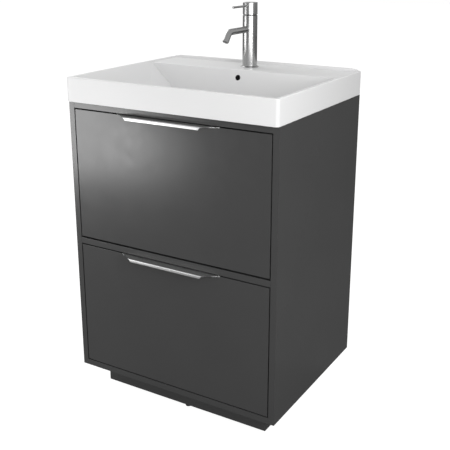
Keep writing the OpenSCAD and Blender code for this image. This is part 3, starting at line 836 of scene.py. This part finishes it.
def in_duct_painted_shade(point):
    """Whether a point lies inside the overflow hole, past its glazed mouth, where the painted shade
    goes.
    """
    away = point - overflow_mouth
    depth = away.dot(overflow_inward)
    inside = (away - overflow_inward * depth).length < OVERFLOW_R
    return inside and DUCT_MOUTH < depth <= DUCT_DEEP + 0.1 * MM


dress(glazed_basin, CERAMIC, "cabinet", "basin_ceramic", "basin")
# the faces inside the overflow hole get the near-black finish: painted shade, not a colour of the
# ware
second_finish(glazed_basin, DUCT_PAINTED_SHADE, in_duct_painted_shade)

# ---- waste ----------------------------------------------------------------------------------

def waste_plug():
    """The pop-up plug: a low dome with a rolled edge on its stem."""
    low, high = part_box("waste_plug")
    radius = high.x
    dome = high.z - PLUG_DOME_H
    outline = rounded([(0, high.z, 0), (radius * 0.55, high.z - 0.7 * MM, 60 * MM),
                       (radius, dome + 1.4 * MM, 1.2 * MM), (radius, dome, 0.6 * MM),
                       (radius - 2 * MM, dome, 0.5 * MM),
                       (PLUG_STEM_R, dome + 0.2 * MM, 0.5 * MM),
                       (PLUG_STEM_R, low.z, 1 * MM), (0, low.z, 0)])
    return lathe("waste_plug_dome", outline, (low + high) / 2)


def waste_flange():
    """The chrome ring set into the bowl's floor."""
    rim_r = FLANGE_HIGH.x
    top_z = FLANGE_HIGH.z
    outline = rounded([(FLANGE_BORE, FLANGE_LOW.z, 0), (rim_r, FLANGE_LOW.z, 0.3 * MM),
                       (rim_r, top_z, 0.5 * MM), (FLANGE_FACE, top_z, 1.2 * MM),
                       (FLANGE_BORE, top_z - 2 * MM, 0.5 * MM), (FLANGE_BORE, FLANGE_LOW.z, 0)])
    return lathe("waste_flange_ring", outline, DRAIN)


dress(waste_plug(), CHROME, "waste_pop_up", "tap_chrome", "waste_plug")
dress(waste_flange(), CHROME, "cabinet", "tap_chrome", "waste_flange")

# ---- tap ------------------------------------------------------------------------------------

def tap_ring():
    """The base ring, with a low side and a shoulder that rises to the column."""
    side_z = RING_LOW.z + RING_SIDE_H
    outline = rounded([(RING_BORE, RING_LOW.z, 0), (RING_HIGH.x, RING_LOW.z, 0.3 * MM),
                       (RING_HIGH.x, side_z, 0.5 * MM), (TAP_R + 1.5 * MM, RING_HIGH.z, 1 * MM),
                       (RING_BORE, RING_HIGH.z, 0), (RING_BORE, RING_LOW.z, 0)])
    return lathe("tap_base_rose", outline, TAP)


def tap_column():
    """The tap's column, with its bottom edge eased and a groove under the cap."""
    groove_z = BODY_HIGH.z - GROOVE_HIGH
    groove_r = TAP_R - GROOVE_DEEP
    outline = rounded([(0, BODY_LOW.z, 0), (TAP_R, BODY_LOW.z, 0.4 * MM),
                       (TAP_R, groove_z, 0.25 * MM), (groove_r, groove_z, 0.1 * MM),
                       (groove_r, BODY_HIGH.z, 0.1 * MM), (0, BODY_HIGH.z, 0)])
    return lathe("tap_column", outline, TAP, 128)


def in_groove_painted_shade(point):
    """Whether a point of the column lies in the groove under the cap, whose faces get the black
    plastic finish as painted shade for the dark gap.
    """
    middle_distance = math.hypot(point.x - TAP.x, point.y - TAP.y)
    return (middle_distance < TAP_R - 0.3 * MM
            and point.z > BODY_HIGH.z - GROOVE_HIGH - 0.05 * MM)


def tap_cap():
    """The turning cap: a beveled lower edge, a small radius on top, hollow below."""
    radius = CAP_HIGH.x
    hollow_r = radius - CAP_WALL
    hollow_z = CAP_LOW.z + CAP_HOLLOW
    outline = rounded([(0, CAP_HIGH.z, 0), (radius, CAP_HIGH.z, 1.1 * MM),
                       (radius, CAP_LOW.z + CAP_BEVEL, 0.2 * MM),
                       (radius - CAP_BEVEL, CAP_LOW.z, 0.1 * MM),
                       (hollow_r, CAP_LOW.z, 0.3 * MM), (hollow_r, hollow_z, 1 * MM),
                       (0, hollow_z, 0)])
    return lathe("tap_cap_shell", outline, TAP, 128)


def rod(name, outline, root, direction, segments=48):
    """Turns an outline of (distance along, radius) points around a straight axis."""
    skin = Skin()
    along = direction.normalized()
    across = Vector((1, 0, 0))
    up = along.cross(across)
    skin.grid([circle(root + along * distance, across, up, radius, segments)
               for distance, radius in outline], closed=True)
    return skin.build(name)


def tap_lever():
    """The thin lever with a softly rounded tip."""
    radius = (LEVER_HIGH.x - LEVER_LOW.x) / 2
    length = LEVER_HIGH.y - LEVER_LOW.y
    middle_z = (LEVER_LOW.z + LEVER_HIGH.z) / 2
    outline = rounded([(0, 0, 0), (0, radius, 0.3 * MM), (length, radius, radius * 0.6),
                       (length, 0, 0)])
    return rod("tap_lever_pin", outline, Vector((TAP.x, LEVER_HIGH.y, middle_z)),
               Vector((0, -1, 0)))


def spout_path(bend_r, bend_degrees, tail):
    """The spout's centre line: (y, z, slope in degrees), level, round the bend, down the tail."""
    level_z = SPOUT_HIGH.z - SPOUT_R
    turn = math.radians(bend_degrees)
    reach = bend_r * math.sin(turn) + tail * math.cos(turn) + SPOUT_R * math.sin(turn)
    bend_y = SPOUT_LOW.y + reach
    path = [(y, level_z, 0) for y in steps(SPOUT_HIGH.y, bend_y, 6)]
    for a in steps(0, bend_degrees, 12)[1:]:
        r = math.radians(a)
        path.append((bend_y - bend_r * math.sin(r), level_z - bend_r * (1 - math.cos(r)), a))
    end_y, end_z, end_slope = path[-1]
    for d in steps(0, tail, 4)[1:]:
        path.append((end_y - d * math.cos(turn), end_z - d * math.sin(turn), end_slope))
    return path


def tap_spout():
    """A bent tube with a rounded mouth, open as far as the aerator."""
    path = spout_path(SPOUT_BEND_R, SPOUT_BEND_DEGREES, SPOUT_TAIL)
    y, z, slope = path[-1]
    back = Vector((0, math.cos(math.radians(slope)), math.sin(math.radians(slope))))
    mouth = Vector((TAP.x, y, z))
    stations = [(Vector((TAP.x, py, pz)), a, SPOUT_R) for py, pz, a in path[:-1]]
    # the mouth's outer edge is rounded, then its inner one
    for inset, shrink in ((0.5, 0), (0.15, 0.15), (0, 0.5)):
        stations.append((mouth + back * inset * MM, slope, SPOUT_R - shrink * MM))
    for inset, extra in ((0, 0.4), (0.15, 0.1), (0.5, 0)):
        stations.append((mouth + back * inset * MM, slope, SPOUT_R - SPOUT_WALL + extra * MM))
    stations.append((mouth + back * SPOUT_OPEN, slope, SPOUT_R - SPOUT_WALL))
    stations.append((mouth + back * SPOUT_OPEN, slope, 0))
    # the end inside the column is closed
    stations.insert(0, (stations[0][0], 0, 0))
    side = Vector((1, 0, 0))
    rows = []
    for middle, a, radius in stations:
        up = Vector((0, -math.sin(math.radians(a)), math.cos(math.radians(a))))
        rows.append(circle(middle, side, up, radius, 64))
    skin = Skin()
    skin.grid(rows, closed=True)
    return skin.build("tap_spout_tube")


dress(tap_ring(), CHROME, "cabinet", "tap_chrome", "tap_base_ring")
column = dress(tap_column(), CHROME, "cabinet", "tap_chrome", "tap_body")
# the groove's faces get the black plastic finish: painted shade for the dark gap under the cap
second_finish(column, BLACK_PLASTIC_AND_GROOVE_SHADE, in_groove_painted_shade)
dress(tap_spout(), CHROME, "cabinet", "tap_chrome", "tap_spout")
dress(tap_cap(), CHROME, "tap_handle", "tap_chrome", "tap_cap")
dress(tap_lever(), CHROME, "tap_handle", "tap_chrome", "tap_lever")

# ---- pulls ----------------------------------------------------------------------------------

def edge_pull(node):
    """A bent aluminium sheet: leg, plate, tapering front, turned-down lip and two ears."""
    low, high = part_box(node)
    front_y = low.y
    fold_y = PANEL_LOW.y
    lip_z = high.z - LIP_DROP
    section = rounded([(high.y, low.z, 0), (high.y, high.z, PULL_BEND), (fold_y, high.z, 0),
                       (front_y, high.z, PULL_BEND), (front_y, lip_z, 0)], 6)
    spans = [0, 0.04, 0.2, 0.4, 0.6, 0.8, 0.96, 1]
    ear_places = [lerp(fold_y, front_y, t) for t in (EAR_START, EAR_TIP)]
    lines = []
    for y, z in section:
        lines.append((y, z))
        if abs(y - fold_y) < SAME_PLACE:
            lines += [(ear_y, high.z) for ear_y in ear_places]
    rows = []
    for y, z in lines:
        if y >= fold_y:
            half = PULL_HALF
        else:
            half = lerp(PULL_HALF, LIP_HALF, (fold_y - y) / (fold_y - front_y))
        if z < high.z - 0.1 * MM and y < fold_y:
            half = lerp(LIP_HALF, LIP_TIP_HALF, (high.z - z) / (high.z - lip_z))
        rows.append([Vector((lerp(-half, half, t), y, z)) for t in spans])
    skin = Skin()
    skin.grid(rows)
    flat = [row for row in rows if fold_y >= row[0].y > front_y + PULL_BEND * 0.9
            and abs(row[0].z - high.z) < SAME_PLACE]
    near = [row for row in flat if row[0].y < fold_y - SAME_PLACE]
    for end, sign in ((0, -1), (-1, 1)):
        rim = [row[end] for row in near]
        edge = (rim[-1] - rim[0]).normalized()
        away = Vector((-edge.y * -sign, edge.x * -sign, 0)).normalized()
        tip = lerp(rim[0], rim[-1], EAR_TIP) + away * EAR_REACH - Vector((0, 0, EAR_DROP))
        for a, b in zip(rim, rim[1:]):
            skin.face(a, b, tip)
    piece = skin.build(node + "_sheet")
    solid = piece.modifiers.new("sheet", "SOLIDIFY")
    solid.thickness = SHEET
    solid.offset = -1
    solid.use_even_offset = True
    ease = piece.modifiers.new("eased_edges", "BEVEL")
    ease.width = 0.3 * MM
    ease.segments = 2
    ease.limit_method = "ANGLE"
    ease.angle_limit = math.radians(50)
    merge = piece.modifiers.new("merged_points", "WELD")
    merge.merge_threshold = 0.02 * MM
    piece.modifiers.move(0, 3)
    return piece


dress(edge_pull("top_handle"), ALUMINIUM, "top_drawer", "handle_aluminium", "top_handle")
dress(edge_pull("lower_handle"), ALUMINIUM, "lower_drawer", "handle_aluminium", "lower_handle")

# ---- boards, feet and the CAD nodes that stay -----------------------------------------------

BODY_OF = {node: body for body, nodes in frame["record"]["behaviour"]["bodies"].items()
           for node in nodes}
SLOT_LOOK = {"cabinet_board": LACQUER, "drawer_board": MELAMINE, "back_board": BACK_BOARD,
             "handle_aluminium": ALUMINIUM, "basin_ceramic": CERAMIC, "tap_chrome": CHROME,
             "aerator_steel": AERATOR, "zinc_steel": ZINC, "foot_plastic": BLACK_PLASTIC_AND_GROOVE_SHADE,
             "white_plastic": WHITE_PLASTIC, "seal_rubber": RUBBER}
SLOT_OF = {part["node"]: part["material_slot"] for part in frame["record"]["subparts"]}
EASED = ["left_side_panel", "right_side_panel", "bottom_panel", "top_front_rail",
         "top_rear_rail", "middle_rail", "back_panel", "plinth_front", "plinth_left_return",
         "plinth_right_return", "foot_front_left", "foot_front_right", "foot_rear_left",
         "foot_rear_right", "foot_centre", "top_drawer_front", "lower_drawer_front"]

for name in EASED:
    dress(soften(name), SLOT_LOOK[SLOT_OF[name]], BODY_OF[name], SLOT_OF[name], name)

for name, thing in frame["nodes"].items():
    thing.data.materials.clear()
    thing.data.materials.append(SLOT_LOOK[SLOT_OF[name]])


# ---- floor, light and camera ----------------------------------------------------------------

def studio_floor():
    """A wide pale floor that fades into the background."""
    skin = Skin()
    places = steps(-FLOOR_REACH, FLOOR_REACH, 12)
    skin.grid([[Vector((x, y, 0)) for x in places] for y in places])
    floor = skin.build("studio_floor")
    finish = Finish("pale_floor", grey(0.2), 0.8)
    finish.tint(finish.noise(3, detail=2), grey(0.19), grey(0.21))
    finish.set("Emission Color", (1, 1, 1, 1)).set("Specular IOR Level", 0.1)
    tree = finish.tree
    seen = tree.nodes.new("ShaderNodeLightPath")
    glow = tree.nodes.new("ShaderNodeMapRange")
    glow.inputs["To Max"].default_value = FLOOR_GLOW
    tree.links.new(seen.outputs["Is Camera Ray"], glow.inputs["Value"])
    tree.links.new(glow.outputs["Result"], finish.shader.inputs["Emission Strength"])
    floor.data.materials.append(finish.material)


def soft_box(name, place, target, size, radiance):
    """A rectangular soft box that faces the target and that the camera doesn't see."""
    lamp = bpy.data.lights.new(name, "AREA")
    lamp.shape = "RECTANGLE"
    lamp.size, lamp.size_y = size
    lamp.energy = radiance * math.pi * size[0] * size[1]
    box = bpy.data.objects.new(name, lamp)
    box.location = place
    box.rotation_euler = (Vector(target) - Vector(place)).to_track_quat("-Z", "Y").to_euler()
    box.visible_camera = False
    bpy.context.scene.collection.objects.link(box)


def studio_world():
    """White to the camera, and a softer grey to everything that is lit or reflects."""
    world = bpy.data.worlds.new("studio")
    world.use_nodes = True
    bpy.context.scene.world = world
    tree = world.node_tree
    soft = tree.nodes["Background"]
    soft.inputs["Color"].default_value = (1, 1, 1, 1)
    soft.inputs["Strength"].default_value = SURROUND
    white = tree.nodes.new("ShaderNodeBackground")
    white.inputs["Strength"].default_value = 1.0
    white.inputs["Color"].default_value = (1, 1, 1, 1)
    seen = tree.nodes.new("ShaderNodeLightPath")
    choose = tree.nodes.new("ShaderNodeMixShader")
    tree.links.new(seen.outputs["Is Camera Ray"], choose.inputs["Fac"])
    tree.links.new(soft.outputs["Background"], choose.inputs[1])
    tree.links.new(white.outputs["Background"], choose.inputs[2])
    tree.links.new(choose.outputs["Shader"], tree.nodes["World Output"].inputs["Surface"])


def camera():
    """The photograph's view: from the front right, a little above the basin."""
    lens = bpy.data.cameras.new("camera")
    lens.lens = LENS
    lens.sensor_width = SENSOR
    lens.shift_y = LENS_SHIFT
    lens.clip_start = 0.05
    lens.clip_end = 50
    eye = bpy.data.objects.new("camera", lens)
    eye.location = CAMERA_PLACE
    eye.rotation_euler = Euler((math.radians(90 - CAMERA_DOWN), 0, math.radians(CAMERA_TURN)))
    bpy.context.scene.collection.objects.link(eye)
    bpy.context.scene.camera = eye


studio_floor()
studio_world()
camera()
bpy.context.scene.view_settings.view_transform = "Standard"
for facts in SOFT_BOXES:
    soft_box(*facts)
